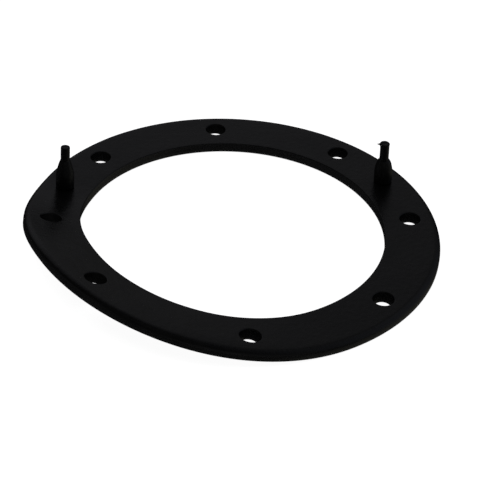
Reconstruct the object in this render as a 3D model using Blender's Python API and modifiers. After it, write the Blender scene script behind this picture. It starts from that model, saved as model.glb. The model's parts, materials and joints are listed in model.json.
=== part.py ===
"""Rubber toilet flange ring with eight bolt holes and two push-in locating pins.

The ring lies flat on the XY plane, except where its front-left part has curled
up off the surface, as a soft moulding does after it has been stored.
Z is up, the origin is the ring's centre at its underside, and units are metres.
Angles are counter-clockwise from +X, seen from above.
"""
from math import atan2, cos, degrees, hypot, pi, radians, sin

import bpy
from mathutils import Matrix, Vector

# The ring
OUTER_RADIUS = 0.0890
INNER_RADIUS = 0.0653
THICKNESS = 0.0044
RIM_WIDTH = 0.0030          # the soft outer edge of the upper face, seen from above
RIM_DROP = 0.0022           # and how far down the side it reaches
EDGE_BREAK = 0.0004         # every other edge of the ring
RING_STEPS = 96
RIM_POINTS = 5
FACE_SPLITS = 3             # strips across the upper and the lower face

# The bolt holes
HOLE_COUNT = 8
HOLE_RADIUS = 0.00455       # in the upper face
HOLE_FOOT_RADIUS = 0.0033   # in the underside, where it just clears the bolt
BOLT_CIRCLE_RADIUS = 0.0776
HOLE_STEPS = 32
# How far each hole sits from its even spacing in the soft ring, in degrees.
HOLE_DRIFT = (3.0, 2.0, 1.0, 0.0, 0.5, -6.0, 0.0, 2.5)

# The curl of the ring, as height of its underside
CURL_HEIGHT = 0.0103        # at the middle of the band
CURL_TILT = 0.29            # extra rise per metre towards the outer edge
CURL_ANGLE = 205.5          # where it is highest
CURL_BEFORE = 53.5          # how many degrees it takes to rise
CURL_AFTER = 93.0           # and to come down again
BAND_MIDDLE = 0.0775

# The locating pins, along each pin's own axis from the ring's underside
FIT_GAP = 0.0003
PIN_HEAD_RADIUS = 0.0065
PIN_HEAD_THICKNESS = 0.0013
PIN_SHANK_RADIUS = 0.0032
PIN_BODY_RADIUS = 0.0040
PIN_STEM_RADIUS = 0.0020
PIN_HEIGHT = 0.0200         # above the ring's upper face
PIN_STEPS = 24
SHOULDER_POINTS = 5
TIP_FLARE_HEIGHT = 0.0015
# Each pin's place on the bolt circle, the lean of its free end towards +X as a slope, the
# heights of its body and its shoulder above the upper face, how round the shoulder is
# from 0, a cone, to 1, a dome, and how much wider than the stem the tip is.
PINS = {
    "locating_pin_right": dict(
        angle=25.5, lean=-0.043, body=0.0058, shoulder=0.0117, roundness=0.7, flare=0.0002),
    "locating_pin_left": dict(
        angle=156.5, lean=-0.009, body=0.0066, shoulder=0.0136, roundness=0.25, flare=0.0),
}


def clear_scene():
    for item in list(bpy.data.objects):
        bpy.data.objects.remove(item, do_unlink=True)


def make_collection(name):
    collection = bpy.data.collections.new(name)
    bpy.context.scene.collection.children.link(collection)
    return collection


def make_material(name, colour, roughness):
    material = bpy.data.materials.new(name)
    material.use_nodes = True
    shader = material.node_tree.nodes["Principled BSDF"]
    shader.inputs["Base Color"].default_value = (*colour, 1.0)
    shader.inputs["Roughness"].default_value = roughness
    shader.inputs["Metallic"].default_value = 0.0
    return material


def curl(x, y):
    """Height of the ring's underside at a point of its plan."""
    turn = (degrees(atan2(y, x)) - CURL_ANGLE + 180.0) % 360.0 - 180.0
    reach = CURL_BEFORE if turn < 0.0 else CURL_AFTER
    if abs(turn) >= reach:
        return 0.0
    share = 0.5 + 0.5 * cos(pi * turn / reach)
    return share * (CURL_HEIGHT + CURL_TILT * (hypot(x, y) - BAND_MIDDLE))


def curl_normal(x, y):
    step = 0.0001
    slope_x = (curl(x + step, y) - curl(x - step, y)) / (2 * step)
    slope_y = (curl(x, y + step) - curl(x, y - step)) / (2 * step)
    return Vector((-slope_x, -slope_y, 1.0)).normalized()


def curled(point):
    """A point of the flat ring, moved to where it lies on the curled one."""
    foot = Vector((point.x, point.y, curl(point.x, point.y)))
    return foot + point.z * curl_normal(point.x, point.y)


def ring_frame(radius, angle):
    """Frame on the ring's underside, with Z square to it."""
    x = radius * cos(radians(angle))
    y = radius * sin(radians(angle))
    turn = curl_normal(x, y).to_track_quat("Z", "Y").to_matrix().to_4x4()
    return Matrix.Translation((x, y, curl(x, y))) @ turn


def rim_outline():
    """The soft outer edge, a quarter of an ellipse from the upper face to the side."""
    turns = [radians(90.0 * i / RIM_POINTS) for i in range(RIM_POINTS + 1)]
    across = OUTER_RADIUS - RIM_WIDTH
    up = THICKNESS - RIM_DROP
    return [(across + RIM_WIDTH * sin(turn), up + RIM_DROP * cos(turn)) for turn in turns]


def split_line(start, end, pieces):
    """Inner points of a straight line cut into equal pieces."""
    shares = [i / pieces for i in range(1, pieces)]
    return [(start[0] + (end[0] - start[0]) * s, start[1] + (end[1] - start[1]) * s) for s in shares]


def turned_mesh(name, profile, steps, closed):
    """Mesh of a profile of (radius, height) points turned about Z."""
    mesh = bpy.data.meshes.new(name + "_profile")
    count = len(profile)
    edges = [(i, i + 1) for i in range(count - 1)]
    if closed:
        edges.append((count - 1, 0))
    mesh.from_pydata([(radius, 0.0, height) for radius, height in profile], edges, [])
    guide = bpy.data.objects.new(name + "_profile", mesh)
    bpy.context.scene.collection.objects.link(guide)
    screw = guide.modifiers.new("turn", "SCREW")
    screw.steps = steps
    screw.render_steps = steps
    screw.use_merge_vertices = True
    screw.merge_threshold = 0.00001
    graph = bpy.context.evaluated_depsgraph_get()
    turned = bpy.data.meshes.new_from_object(guide.evaluated_get(graph))
    turned.name = name
    bpy.data.objects.remove(guide, do_unlink=True)
    return turned


def add_object(name, mesh, collection, material=None):
    item = bpy.data.objects.new(name, mesh)
    collection.objects.link(item)
    if material:
        mesh.materials.clear()
        mesh.materials.append(material)
        mesh.shade_smooth()
        mesh.set_sharp_from_angle(angle=radians(35))
    return item


def hide_cutter(item):
    item.hide_render = True
    item.display_type = "WIRE"


def ring_profile():
    """Section of the ring, clockwise from the top of its outer side."""
    outer, inner, top, cut = OUTER_RADIUS, INNER_RADIUS, THICKNESS, EDGE_BREAK
    profile = rim_outline()
    profile += [(outer, cut), (outer - cut, 0.0)]
    profile += split_line((outer - cut, 0.0), (inner + cut, 0.0), FACE_SPLITS)
    profile += [(inner + cut, 0.0), (inner, cut), (inner, top - cut), (inner + cut, top)]
    profile += split_line((inner + cut, top), (outer - RIM_WIDTH, top), FACE_SPLITS)
    return profile


def make_hole_cutters(collection):
    """Tapered cutters that reach half the ring's thickness past both of its faces."""
    past = (HOLE_RADIUS - HOLE_FOOT_RADIUS) / 2
    for index in range(HOLE_COUNT):
        angle = index * 360.0 / HOLE_COUNT + HOLE_DRIFT[index]
        bpy.ops.mesh.primitive_cone_add(
            vertices=HOLE_STEPS, radius1=HOLE_FOOT_RADIUS - past, radius2=HOLE_RADIUS + past,
            depth=2 * THICKNESS)
        cutter = bpy.context.object
        cutter.name = f"bolt_hole_cutter_{index + 1}"
        middle = Matrix.Translation((0, 0, THICKNESS / 2))
        cutter.matrix_world = ring_frame(BOLT_CIRCLE_RADIUS, angle) @ middle
        for owner in list(cutter.users_collection):
            owner.objects.unlink(cutter)
        collection.objects.link(cutter)
        hide_cutter(cutter)


def make_seat_cutters(collection):
    """Stepped cutters for each pin's shank hole and the recess of its head."""
    bore = PIN_SHANK_RADIUS + FIT_GAP
    recess = PIN_HEAD_RADIUS + FIT_GAP
    floor = PIN_HEAD_THICKNESS + 2 * FIT_GAP
    past = THICKNESS
    profile = [(0.0, THICKNESS + past), (bore, THICKNESS + past), (bore, floor)]
    profile += [(recess, floor), (recess, -past), (0.0, -past)]
    for name, pin in PINS.items():
        mesh = turned_mesh(name + "_seat_cutter", profile, PIN_STEPS, closed=False)
        cutter = add_object(name + "_seat_cutter", mesh, collection)
        cutter.matrix_world = ring_frame(BOLT_CIRCLE_RADIUS, pin["angle"])
        hide_cutter(cutter)


def make_ring(collection, cutters, material):
    mesh = turned_mesh("flange_ring", ring_profile(), RING_STEPS, closed=True)
    for vertex in mesh.vertices:
        vertex.co = curled(vertex.co)
    ring = add_object("flange_ring", mesh, collection, material)
    cut = ring.modifiers.new("holes", "BOOLEAN")
    cut.operation = "DIFFERENCE"
    cut.solver = "EXACT"
    cut.operand_type = "COLLECTION"
    cut.collection = cutters


def shoulder_outline(pin):
    """The shoulder's outline, from the foot of the stem down to the body."""
    top = THICKNESS + pin["shoulder"]
    drop = pin["shoulder"] - pin["body"]
    width = PIN_BODY_RADIUS - PIN_STEM_RADIUS
    outline = []
    for i in range(SHOULDER_POINTS + 1):
        turn = radians(90.0 * i / SHOULDER_POINTS)
        dome = sin(turn)
        cone = 1.0 - cos(turn)
        swell = cone + (dome - cone) * pin["roundness"]
        outline.append((PIN_STEM_RADIUS + width * swell, top - drop * cone))
    return outline


def pin_profile(pin):
    """Outline of a pin from the top of its stem down to the flat of its head."""
    top = THICKNESS + PIN_HEIGHT
    tip = PIN_STEM_RADIUS + pin["flare"]
    cut = EDGE_BREAK
    profile = [(0.0, top), (tip - cut, top), (tip, top - cut)]
    profile += [(PIN_STEM_RADIUS, top - TIP_FLARE_HEIGHT)]
    profile += shoulder_outline(pin)
    foot = THICKNESS + FIT_GAP
    profile += [(PIN_BODY_RADIUS, foot + cut), (PIN_BODY_RADIUS - cut, foot), (PIN_SHANK_RADIUS, foot)]
    head_top = FIT_GAP + PIN_HEAD_THICKNESS
    profile += [(PIN_SHANK_RADIUS, head_top), (PIN_HEAD_RADIUS, head_top)]
    profile += [(PIN_HEAD_RADIUS, FIT_GAP), (0.0, FIT_GAP)]
    return profile


def make_pin(name, pin, collection, material):
    """A pin whose free end leans a little, since it is soft."""
    mesh = turned_mesh(name, pin_profile(pin), PIN_STEPS, closed=False)
    frame = ring_frame(BOLT_CIRCLE_RADIUS, pin["angle"])
    lean = frame.to_3x3().inverted() @ Vector((pin["lean"], 0.0, 0.0))
    for vertex in mesh.vertices:
        free = max(0.0, vertex.co.z - THICKNESS - FIT_GAP)
        vertex.co += free * lean
    item = add_object(name, mesh, collection, material)
    item.matrix_world = frame


def main():
    clear_scene()
    parts = make_collection("toilet_flange")
    cutters = make_collection("cutters")
    ring_rubber = make_material("ring_rubber", (0.012, 0.012, 0.013), 0.42)
    pin_rubber = make_material("pin_rubber", (0.006, 0.006, 0.007), 0.5)
    make_hole_cutters(cutters)
    make_seat_cutters(cutters)
    make_ring(parts, cutters, ring_rubber)
    for name, pin in PINS.items():
        make_pin(name, pin, parts, pin_rubber)


main()
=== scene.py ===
"""The looks of the rubber toilet flange ring: fine meshes, rubber materials, stage and camera."""
import json
from math import atan2, cos, degrees, exp, hypot, pi, radians, sin

import bmesh
import bpy
from mathutils import Matrix, Vector, noise


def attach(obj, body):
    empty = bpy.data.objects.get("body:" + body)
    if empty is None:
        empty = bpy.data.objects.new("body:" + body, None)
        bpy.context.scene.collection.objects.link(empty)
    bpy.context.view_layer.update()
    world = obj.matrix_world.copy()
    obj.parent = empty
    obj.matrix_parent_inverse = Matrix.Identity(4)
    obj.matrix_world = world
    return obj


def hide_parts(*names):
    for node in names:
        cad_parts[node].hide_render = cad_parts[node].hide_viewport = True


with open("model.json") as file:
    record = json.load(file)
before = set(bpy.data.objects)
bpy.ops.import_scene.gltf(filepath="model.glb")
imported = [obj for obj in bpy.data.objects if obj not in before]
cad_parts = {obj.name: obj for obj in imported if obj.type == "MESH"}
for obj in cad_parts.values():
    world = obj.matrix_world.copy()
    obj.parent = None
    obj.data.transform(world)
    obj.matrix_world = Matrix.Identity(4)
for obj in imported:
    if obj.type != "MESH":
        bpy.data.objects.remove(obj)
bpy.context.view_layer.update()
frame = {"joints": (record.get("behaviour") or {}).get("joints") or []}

JOINTS = {joint["name"]: joint for joint in frame["joints"]}

# The ring's section, as in the CAD part, in metres
OUTER_RADIUS = 0.0890
INNER_RADIUS = 0.0653
THICKNESS = 0.0044
RIM_WIDTH = 0.0030
RIM_DROP = 0.0022
EDGE_ROUND = 0.0004
HOLE_EDGE = 0.00014
HOLE_MOUTH = 0.0005         # the soft upper edge of a bolt hole
BAND_MIDDLE = 0.0775

# Where the front of the upper face has sagged a little towards its outer edge
SAG_START = 0.0800
SAG_DROP = 0.00045
SAG_ANGLE = -108.0
SAG_REACH = 42.0

# The curl at the front left, as in the CAD part
CURL_HEIGHT = 0.0103
CURL_TILT = 0.29
CURL_ANGLE = 205.5
CURL_BEFORE = 53.5
CURL_AFTER = 93.0

# What the ring is pierced by: bolt holes and pin seats, by angle in degrees
BOLT_CIRCLE_RADIUS = 0.0776
HOLE_RADIUS = 0.00455
HOLE_FOOT_RADIUS = 0.0033
HOLE_ANGLES = (3.0, 47.0, 91.0, 135.0, 180.5, 219.0, 270.0, 317.5)
SEAT_BORE = 0.0035
SEAT_RECESS = 0.0068
SEAT_FLOOR = 0.0019
PIN_ANGLES = (25.5, 156.5)

# Fine mesh of the ring
PATCH_HALF_ANGLE = 8.5      # a square patch of the band around each hole
PATCH_COLUMNS = 24
BAND_ROWS = 12
PATCH_LOOPS = 8
FLASH = 0.00004             # the thin line that the mould's joint leaves on each wall
FLASH_HEIGHT = 0.38 * THICKNESS
FLASH_HALF_WIDTH = 0.00016
RIPPLE = 0.00010            # unevenness of the upper face
RIPPLE_SCALE = 38.0

# The pins, along each pin's axis from the ring's underside
PIN_HEAD_RADIUS = 0.0065
PIN_HEAD_TOP = 0.0016
PIN_HEAD_FOOT = 0.0003
PIN_SHANK_RADIUS = 0.0032
PIN_BODY_FOOT = THICKNESS + 0.0003
PIN_BODY_RADIUS = 0.0040
PIN_STEM_RADIUS = 0.0020
PIN_TOP = THICKNESS + 0.0200
PIN_GATE_RADIUS = 0.0016    # the dimple that the mould's gate leaves under a pin's head
PIN_GATE_DEPTH = 0.0002
PIN_TIP_DISH = 0.0003
PIN_STEPS = 96
PIN_UNEVENNESS = 0.00005
PIN_UNEVENNESS_SCALE = 260.0
SEAM = 0.00007              # the two lines that the mould's halves leave on a pin
SEAM_HALF_ANGLE = 2.2
TIP_FIN = 0.0014            # reach of the scrap of flash on one pin's tip
TIP_FIN_HALF_ANGLE = 8.0
TIP_FIN_BELOW = 0.00045     # from the tip down to the fin's middle
TIP_FIN_HALF_HEIGHT = 0.00026
PINS = {
    "locating_pin_right": dict(
        body="pin_right", joint="pin_right_turn", lean=-0.043, shoulder_foot=0.0058,
        shoulder_top=0.0117, roundness=0.7, flare=0.0002, fin=TIP_FIN),
    "locating_pin_left": dict(
        body="pin_left", joint="pin_left_turn", lean=-0.009, shoulder_foot=0.0066,
        shoulder_top=0.0136, roundness=0.25, flare=0.0, fin=0.0),
}


# ---------------------------------------------------------------- the curl

def curl(x, y):
    turn = (degrees(atan2(y, x)) - CURL_ANGLE + 180.0) % 360.0 - 180.0
    reach = CURL_BEFORE if turn < 0.0 else CURL_AFTER
    if abs(turn) >= reach:
        return 0.0
    share = 0.5 + 0.5 * cos(pi * turn / reach)
    return share * (CURL_HEIGHT + CURL_TILT * (hypot(x, y) - BAND_MIDDLE))


def curl_normal(x, y):
    step = 0.0001
    slope_x = (curl(x + step, y) - curl(x - step, y)) / (2 * step)
    slope_y = (curl(x, y + step) - curl(x, y - step)) / (2 * step)
    return Vector((-slope_x, -slope_y, 1.0)).normalized()


def curled(point):
    foot = Vector((point.x, point.y, curl(point.x, point.y)))
    return foot + point.z * curl_normal(point.x, point.y)


# ---------------------------------------------------------------- mesh helpers

def arc(centre, radius, start, end, points, squeeze=1.0):
    """Points of an arc, or of an ellipse's arc where squeeze is its height over its width."""
    turns = [radians(start + (end - start) * i / (points - 1)) for i in range(points)]
    return [(centre[0] + radius * cos(a), centre[1] + radius * squeeze * sin(a)) for a in turns]


def add_grid(mesh, rows, closed=False):
    """Quads between rows of points; each row may close on itself."""
    made = [[mesh.verts.new(point) for point in row] for row in rows]
    for upper, lower in zip(made, made[1:]):
        count = len(upper) if closed else len(upper) - 1
        for i in range(count):
            j = (i + 1) % len(upper)
            mesh.faces.new((upper[i], upper[j], lower[j], lower[i]))
    return made


def finish_mesh(mesh, name, sharp=40.0):
    bmesh.ops.remove_doubles(mesh, verts=mesh.verts, dist=2e-6)
    bmesh.ops.recalc_face_normals(mesh, faces=mesh.faces)
    data = bpy.data.meshes.new(name)
    mesh.to_mesh(data)
    mesh.free()
    data.shade_smooth()
    data.set_sharp_from_angle(angle=radians(sharp))
    item = bpy.data.objects.new(name, data)
    bpy.context.scene.collection.objects.link(item)
    return item


def polar(radius, angle, height=0.0):
    return Vector((radius * cos(radians(angle)), radius * sin(radians(angle)), height))


# ---------------------------------------------------------------- the ring

def bolt_hole_wall():
    """Section of a bolt hole's tapered wall, from the upper face to the lower one."""
    cut = HOLE_EDGE
    taper = (HOLE_RADIUS - HOLE_FOOT_RADIUS) / THICKNESS
    top = HOLE_RADIUS - taper * HOLE_MOUTH
    wall = arc((top + HOLE_MOUTH, THICKNESS - HOLE_MOUTH), HOLE_MOUTH, 90, 180, 9)
    heights = spread(THICKNESS - HOLE_MOUTH, cut, 4)[1:-1]
    wall += [(HOLE_FOOT_RADIUS + taper * height, height) for height in heights]
    wall += arc((HOLE_FOOT_RADIUS + cut, cut), cut, 180, 270, 5)
    return wall


def pin_seat_wall():
    cut = HOLE_EDGE
    wall = arc((SEAT_BORE + cut, THICKNESS - cut), cut, 90, 180, 4)
    wall += [(SEAT_BORE, SEAT_FLOOR), (SEAT_RECESS, SEAT_FLOOR)]
    wall += arc((SEAT_RECESS + cut, cut), cut, 180, 270, 4)
    return wall


def piercings():
    holes = [(angle, BOLT_CIRCLE_RADIUS, bolt_hole_wall()) for angle in HOLE_ANGLES]
    seats = [(angle, BOLT_CIRCLE_RADIUS, pin_seat_wall()) for angle in PIN_ANGLES]
    return sorted(holes + seats, key=lambda piercing: piercing[0])


def spread(start, end, pieces):
    return [start + (end - start) * i / pieces for i in range(pieces + 1)]


def patch_border(centre_angle, inner, outer):
    """Points round the square patch of the band, counter-clockwise from its inner right."""
    right = centre_angle - PATCH_HALF_ANGLE
    left = centre_angle + PATCH_HALF_ANGLE
    border = [polar(radius, right) for radius in spread(inner, outer, BAND_ROWS)[:-1]]
    border += [polar(outer, angle) for angle in spread(right, left, PATCH_COLUMNS)[:-1]]
    border += [polar(radius, left) for radius in spread(outer, inner, BAND_ROWS)[:-1]]
    border += [polar(inner, angle) for angle in spread(left, right, PATCH_COLUMNS)[:-1]]
    return border


def hole_ring(centre, border, radius):
    return [centre + radius * (point - centre).normalized() for point in border]


def add_patch(mesh, centre, border, hole, height):
    """The face of the band between a hole and its patch's border."""
    rows = []
    for i in range(PATCH_LOOPS + 1):
        share = (i / PATCH_LOOPS) ** 1.5
        row = [a.lerp(b, share) for a, b in zip(hole, border)]
        rows.append([Vector((point.x, point.y, height)) for point in row])
    add_grid(mesh, rows, closed=True)


def add_piercing(mesh, angle, radius, wall, faces):
    """Both faces of the band round one hole, and the hole's wall between them."""
    centre = polar(radius, angle)
    borders = [patch_border(angle, inner, outer) for inner, outer, _ in faces]
    for border, (_, _, height), end in zip(borders, faces, (wall[0], wall[-1])):
        add_patch(mesh, centre, border, hole_ring(centre, border, end[0]), height)
    rows = []
    for i, (width, height) in enumerate(wall):
        share = i / (len(wall) - 1)
        border = [a.lerp(b, share) for a, b in zip(*borders)]
        ring = hole_ring(centre, border, width)
        rows.append([Vector((point.x, point.y, height)) for point in ring])
    add_grid(mesh, rows, closed=True)


def plain_stretches(centres):
    """Angles of the stretches of band between the patches."""
    stretches = []
    for here, there in zip(centres, centres[1:] + [centres[0] + 360.0]):
        start = here + PATCH_HALF_ANGLE
        end = there - PATCH_HALF_ANGLE
        column = 2 * PATCH_HALF_ANGLE / PATCH_COLUMNS
        stretches.append(spread(start, end, max(1, round((end - start) / column))))
    return stretches


def wall_section(radius, side, width, drop):
    """Section of the ring's outer (side 1) or inner (side -1) wall, top to bottom.

    Its upper edge is an ellipse, so many columns wide and so deep."""
    turn = 0 if side > 0 else 180
    top = arc((radius - side * width, THICKNESS - drop), width, 90, turn, 15, drop / width)
    down = -90 if side > 0 else 270
    foot = arc((radius - side * EDGE_ROUND, EDGE_ROUND), EDGE_ROUND, turn, down, 6)
    flash = [
        (radius, FLASH_HEIGHT + FLASH_HALF_WIDTH),
        (radius + side * FLASH, FLASH_HEIGHT),
        (radius, FLASH_HEIGHT - FLASH_HALF_WIDTH),
    ]
    return top + flash + foot


def add_wall(mesh, section, angles):
    rows = [[polar(radius, angle, height) for angle in angles] for radius, height in section]
    add_grid(mesh, rows, closed=True)


def sag(point):
    turn = (degrees(atan2(point.y, point.x)) - SAG_ANGLE + 180.0) % 360.0 - 180.0
    if abs(turn) >= SAG_REACH:
        return 0.0
    outward = max(0.0, (hypot(point.x, point.y) - SAG_START) / (OUTER_RADIUS - SAG_START))
    return SAG_DROP * outward ** 2 * cos(pi * turn / (2 * SAG_REACH)) ** 2


def settle(mesh):
    """Curls the ring, with the slight unevenness of a soft moulding."""
    for vertex in mesh.verts:
        point = vertex.co
        ripple = noise.noise(Vector((point.x, point.y, 0.0)) * RIPPLE_SCALE) * RIPPLE
        share = min(1.0, point.z / THICKNESS)
        height = point.z - share * (abs(ripple) + sag(point))
        vertex.co = curled(Vector((point.x, point.y, height)))


def make_ring(material):
    mesh = bmesh.new()
    upper = (INNER_RADIUS + EDGE_ROUND, OUTER_RADIUS - RIM_WIDTH, THICKNESS)
    lower = (INNER_RADIUS + EDGE_ROUND, OUTER_RADIUS - EDGE_ROUND, 0.0)
    through = piercings()
    for angle, radius, wall in through:
        add_piercing(mesh, angle, radius, wall, (upper, lower))
    angles = []
    centres = [angle for angle, _, _ in through]
    for centre, stretch in zip(centres, plain_stretches(centres)):
        for inner, outer, height in (upper, lower):
            radii = spread(inner, outer, BAND_ROWS)
            add_grid(mesh, [[polar(r, a, height) for a in stretch] for r in radii])
        angles += spread(centre - PATCH_HALF_ANGLE, centre + PATCH_HALF_ANGLE, PATCH_COLUMNS)[:-1]
        angles += stretch[:-1]
    add_wall(mesh, wall_section(OUTER_RADIUS - FLASH, 1, RIM_WIDTH - FLASH, RIM_DROP), angles)
    add_wall(mesh, wall_section(INNER_RADIUS, -1, EDGE_ROUND, EDGE_ROUND), angles)
    bmesh.ops.remove_doubles(mesh, verts=mesh.verts, dist=2e-6)
    settle(mesh)
    ring = finish_mesh(mesh, "flange_ring_skin")
    ring.data.materials.append(material)
    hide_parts("flange_ring")
    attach(ring, "ring")


# ---------------------------------------------------------------- the pins

def shoulder_outline(pin, points=16):
    width = PIN_BODY_RADIUS - PIN_STEM_RADIUS
    drop = pin["shoulder_top"] - pin["shoulder_foot"]
    outline = []
    for i in range(points + 1):
        turn = radians(90.0 * i / points)
        cone = 1.0 - cos(turn)
        swell = cone + (sin(turn) - cone) * pin["roundness"]
        height = THICKNESS + pin["shoulder_top"] - drop * cone
        outline.append((PIN_STEM_RADIUS + width * swell, height))
    return outline


def stem_outline(pin):
    """The tip and the stem, which is straight under the tip's flare."""
    tip = PIN_STEM_RADIUS + pin["flare"]
    cut = EDGE_ROUND
    outline = [(tip * 0.3, PIN_TOP - 0.00025), (tip * 0.62, PIN_TOP - 0.00008)]
    outline += arc((tip - cut, PIN_TOP - cut), cut, 90, 0, 6)
    foot = THICKNESS + pin["shoulder_top"]
    length = PIN_TOP - cut - foot
    for i in range(1, 12):
        share = i / 12
        flare = pin["flare"] * max(0.0, 1.0 - share * 4.0) ** 2
        outline.append((PIN_STEM_RADIUS + flare, PIN_TOP - cut - share * length))
    return outline


def foot_outline():
    """The body's foot, the shank through the ring and the head under it."""
    cut = EDGE_ROUND
    foot = arc((PIN_BODY_RADIUS - cut, PIN_BODY_FOOT + cut), cut, 0, -90, 6)
    shank = [(PIN_SHANK_RADIUS, PIN_BODY_FOOT), (PIN_SHANK_RADIUS, PIN_HEAD_TOP)]
    small = cut / 2
    head = arc((PIN_HEAD_RADIUS - small, PIN_HEAD_TOP - small), small, 90, 0, 4)
    head += arc((PIN_HEAD_RADIUS - cut, PIN_HEAD_FOOT + cut), cut, 0, -90, 6)
    dimple = (PIN_GATE_RADIUS - PIN_GATE_DEPTH, PIN_HEAD_FOOT + PIN_GATE_DEPTH)
    gate = [(PIN_GATE_RADIUS, PIN_HEAD_FOOT), dimple]
    return foot + shank + head + gate


def seam(turn, height):
    """Extra radius of the two lines that the mould's halves leave on a pin."""
    away = abs((turn + 90.0) % 180.0 - 90.0) / SEAM_HALF_ANGLE
    return SEAM * exp(-away * away) if height > PIN_BODY_FOOT else 0.0


def tip_fin(turn, height, reach):
    """Extra radius of the scrap of flash that the mould left on one pin's tip, at turn 0."""
    aside = ((turn + 180.0) % 360.0 - 180.0) / TIP_FIN_HALF_ANGLE
    below = (PIN_TOP - TIP_FIN_BELOW - height) / TIP_FIN_HALF_HEIGHT
    return reach * exp(-aside * aside - below * below)


def pin_frame(joint):
    axis = Vector(joint["axis"]).normalized()
    turn = axis.to_track_quat("Z", "Y").to_matrix().to_4x4()
    return Matrix.Translation(joint["pos_m"]) @ turn


def pin_rows(outline, seed, fin, fin_turn):
    rows = []
    for radius, height in outline:
        row = []
        for i in range(PIN_STEPS):
            turn = 360.0 * i / PIN_STEPS
            point = polar(1.0, turn, height * PIN_UNEVENNESS_SCALE + seed)
            uneven = PIN_UNEVENNESS * noise.noise(point) if height > PIN_BODY_FOOT else 0.0
            extra = uneven + seam(turn, height) + tip_fin(turn - fin_turn, height, fin)
            row.append(polar(radius + extra, turn, height))
        rows.append(row)
    return rows


def lean_over(points, lean, place):
    """Puts a pin in its seat, with its free end leaning as in the CAD part."""
    for point in points:
        free = max(0.0, point.z - PIN_BODY_FOOT)
        point += free * lean
        point[:] = place @ point


def make_pin(name, pin, material, seed):
    mesh = bmesh.new()
    place = pin_frame(JOINTS[pin["joint"]])
    lean = place.to_3x3().inverted() @ Vector((pin["lean"], 0.0, 0.0))
    outline = stem_outline(pin) + shoulder_outline(pin) + foot_outline()
    rows = pin_rows(outline, seed, pin["fin"], degrees(atan2(lean.y, lean.x)))
    made = add_grid(mesh, rows, closed=True)
    tip, gate = PIN_TOP - PIN_TIP_DISH, PIN_HEAD_FOOT + PIN_GATE_DEPTH
    for ring, height in ((made[0], tip), (made[-1], gate)):
        centre = mesh.verts.new((0.0, 0.0, height))
        for i in range(PIN_STEPS):
            mesh.faces.new((ring[i], ring[(i + 1) % PIN_STEPS], centre))
    lean_over([vertex.co for vertex in mesh.verts], lean, place)
    item = finish_mesh(mesh, name + "_skin")
    item.data.materials.append(material)
    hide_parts(name)
    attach(item, pin["body"])


# ---------------------------------------------------------------- materials

def new_material(name):
    material = bpy.data.materials.new(name)
    material.use_nodes = True
    tree = material.node_tree
    return material, tree, tree.nodes["Principled BSDF"]


def noise_node(tree, coordinates, scale, detail, roughness=0.5):
    node = tree.nodes.new("ShaderNodeTexNoise")
    node.inputs["Scale"].default_value = scale
    node.inputs["Detail"].default_value = detail
    node.inputs["Roughness"].default_value = roughness
    tree.links.new(coordinates, node.inputs["Vector"])
    return node.outputs["Fac"]


def ramp(tree, factor, stops):
    node = tree.nodes.new("ShaderNodeValToRGB")
    node.color_ramp.elements[0].position = stops[0][0]
    node.color_ramp.elements[0].color = (*stops[0][1], 1.0)
    node.color_ramp.elements[1].position = stops[-1][0]
    node.color_ramp.elements[1].color = (*stops[-1][1], 1.0)
    tree.links.new(factor, node.inputs["Fac"])
    return node.outputs["Color"]


def bump(tree, height, distance, strength, under=None):
    node = tree.nodes.new("ShaderNodeBump")
    node.inputs["Distance"].default_value = distance
    node.inputs["Strength"].default_value = strength
    tree.links.new(height, node.inputs["Height"])
    if under:
        tree.links.new(under, node.inputs["Normal"])
    return node.outputs["Normal"]


def rubber(name, dark, light, smooth, rough):
    """Moulded black rubber: a fine grain, a faint bloom and uneven gloss."""
    material, tree, shader = new_material(name)
    place = tree.nodes.new("ShaderNodeTexCoord").outputs["Object"]
    bloom = noise_node(tree, place, 55.0, 4.0, 0.55)
    tree.links.new(ramp(tree, bloom, ((0.3, dark), (0.75, light))), shader.inputs["Base Color"])
    patches = noise_node(tree, place, 120.0, 3.0, 0.6)
    gloss = ramp(tree, patches, ((0.3, (smooth,) * 3), (0.75, (rough,) * 3)))
    tree.links.new(gloss, shader.inputs["Roughness"])
    grain = noise_node(tree, place, 2600.0, 2.0, 0.6)
    orange_peel = noise_node(tree, place, 420.0, 2.0, 0.5)
    wave = bump(tree, orange_peel, 0.0006, 0.16)
    tree.links.new(bump(tree, grain, 0.00012, 0.35, wave), shader.inputs["Normal"])
    shader.inputs["Specular IOR Level"].default_value = 0.5
    return material


# ---------------------------------------------------------------- stage and camera

def make_floor():
    bpy.ops.mesh.primitive_plane_add(size=6.0, location=(0.0, 0.0, -0.0002))
    floor = bpy.context.object
    floor.name = "floor"
    material, _, shader = new_material("floor_paint")
    shader.inputs["Base Color"].default_value = (0.8, 0.8, 0.8, 1.0)
    shader.inputs["Roughness"].default_value = 0.9
    shader.inputs["Emission Color"].default_value = (1.0, 1.0, 1.0, 1.0)
    shader.inputs["Emission Strength"].default_value = 0.95
    floor.data.materials.append(material)
    floor.visible_glossy = False


def add_light(name, location, size, power, colour=(1.0, 1.0, 1.0)):
    light = bpy.data.lights.new(name, "AREA")
    light.shape = "RECTANGLE"
    light.size, light.size_y = size
    light.energy = power
    light.color = colour
    item = bpy.data.objects.new(name, light)
    item.location = location
    item.visible_glossy = False
    item.rotation_euler = (-Vector(location)).to_track_quat("-Z", "Y").to_euler()
    bpy.context.scene.collection.objects.link(item)


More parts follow.
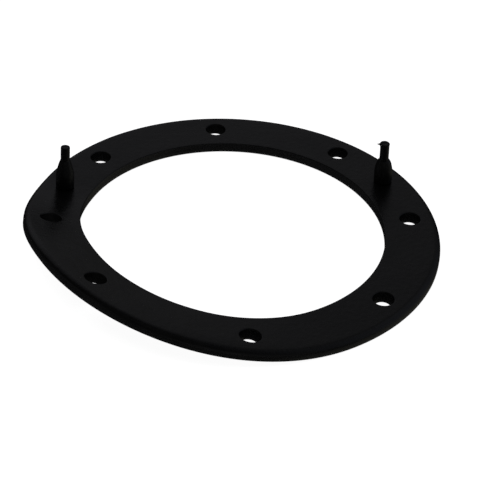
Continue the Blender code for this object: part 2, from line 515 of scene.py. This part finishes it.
# What the rubber mirrors: a dim room, and soft lights by direction, the cosine of the angle
# at which each one starts, and colour. The last three are for views from the right, the
# back and above.
ROOM = (0.010, 0.010, 0.010)
SOFT_LIGHTS = (
    ((-0.16, 0.86, 0.49), 0.82, (0.126, 0.126, 0.136)),
    ((0.34, 0.88, 0.33), 0.95, (0.052, 0.052, 0.052)),
    ((0.40, 0.50, 0.77), 0.92, (0.050, 0.050, 0.052)),
    ((0.84, 0.10, 0.53), 0.60, (0.110, 0.115, 0.136)),
    ((0.80, 0.00, -0.60), 0.55, (0.085, 0.083, 0.068)),
    ((-0.80, 0.00, -0.60), 0.65, (0.020, 0.020, 0.022)),
    ((-0.85, -0.10, 0.40), 0.85, (0.050, 0.050, 0.052)),
    ((0.10, -0.85, 0.35), 0.70, (0.060, 0.060, 0.062)),
    ((-0.10, -0.05, 1.00), 0.93, (0.030, 0.030, 0.031)),
)


def add_vectors(tree, first, second):
    node = tree.nodes.new("ShaderNodeVectorMath")
    tree.links.new(first, node.inputs[0])
    tree.links.new(second, node.inputs[1])
    return node.outputs["Vector"]


def soft_light(tree, towards, direction, start, colour):
    """Colour that grows smoothly from a cone's edge to its axis."""
    facing = tree.nodes.new("ShaderNodeVectorMath")
    facing.operation = "DOT_PRODUCT"
    tree.links.new(towards, facing.inputs[0])
    facing.inputs[1].default_value = Vector(direction).normalized()
    share = tree.nodes.new("ShaderNodeMapRange")
    share.interpolation_type = "SMOOTHSTEP"
    share.inputs["From Min"].default_value = start
    tree.links.new(facing.outputs["Value"], share.inputs["Value"])
    tint = tree.nodes.new("ShaderNodeVectorMath")
    tint.operation = "SCALE"
    tint.inputs[0].default_value = colour
    tree.links.new(share.outputs["Result"], tint.inputs["Scale"])
    return tint.outputs["Vector"]


def make_world():
    """A dim room with soft lights in it, behind a plain white backdrop."""
    world = bpy.data.worlds.new("studio")
    world.use_nodes = True
    tree = world.node_tree
    towards = tree.nodes.new("ShaderNodeTexCoord").outputs["Generated"]
    room = tree.nodes.new("ShaderNodeRGB").outputs["Color"]
    room.default_value = (*ROOM, 1.0)
    for direction, start, colour in SOFT_LIGHTS:
        room = add_vectors(tree, room, soft_light(tree, towards, direction, start, colour))
    backdrop = tree.nodes.new("ShaderNodeMix")
    backdrop.data_type = "RGBA"
    backdrop.inputs["B"].default_value = (1.0, 1.0, 1.0, 1.0)
    seen = tree.nodes.new("ShaderNodeLightPath").outputs["Is Camera Ray"]
    tree.links.new(seen, backdrop.inputs["Factor"])
    tree.links.new(room, backdrop.inputs["A"])
    tree.links.new(backdrop.outputs["Result"], tree.nodes["Background"].inputs["Color"])
    bpy.context.scene.world = world
    bpy.context.scene.view_settings.view_transform = "Standard"


CAMERA_AZIMUTH = 6.90       # degrees that the line of sight turns from +Y towards +X
CAMERA_ELEVATION = 35.49
CAMERA_ROLL = -3.30
CAMERA_DISTANCE = 0.7634
CAMERA_SIDE = 0.0035
CAMERA_RISE = -0.0022
CAMERA_LENS = 133.6


def make_camera():
    turn = Matrix.Rotation(radians(-CAMERA_AZIMUTH), 3, "Z")
    tilt = radians(CAMERA_ELEVATION)
    ahead = turn @ Vector((0.0, cos(tilt), -sin(tilt)))
    up = turn @ Vector((0.0, sin(tilt), cos(tilt)))
    right = turn @ Vector((1.0, 0.0, 0.0))
    roll = radians(CAMERA_ROLL)
    side = right * cos(roll) - up * sin(roll)
    top = right * sin(roll) + up * cos(roll)
    camera = bpy.data.objects.new("camera", bpy.data.cameras.new("camera"))
    camera.data.lens = CAMERA_LENS
    camera.data.clip_start = 0.01
    place = right * CAMERA_SIDE + up * CAMERA_RISE - ahead * CAMERA_DISTANCE
    axes = Matrix((side, top, -ahead)).transposed().to_4x4()
    camera.matrix_world = Matrix.Translation(place) @ axes
    bpy.context.scene.collection.objects.link(camera)
    bpy.context.scene.camera = camera


make_camera()
make_ring(rubber("ring_rubber_look", (0.003, 0.003, 0.0031), (0.005, 0.005, 0.0052), 0.24, 0.32))
pin_look = rubber("pin_rubber_look", (0.0014, 0.0014, 0.0015), (0.003, 0.003, 0.0031), 0.34, 0.44)
for number, (pin_name, pin_facts) in enumerate(PINS.items()):
    make_pin(pin_name, pin_facts, pin_look, seed=7.0 * number)
make_floor()
make_world()
add_light("key_softbox", (-0.2, 0.3, 1.3), (1.8, 1.8), 4.0)
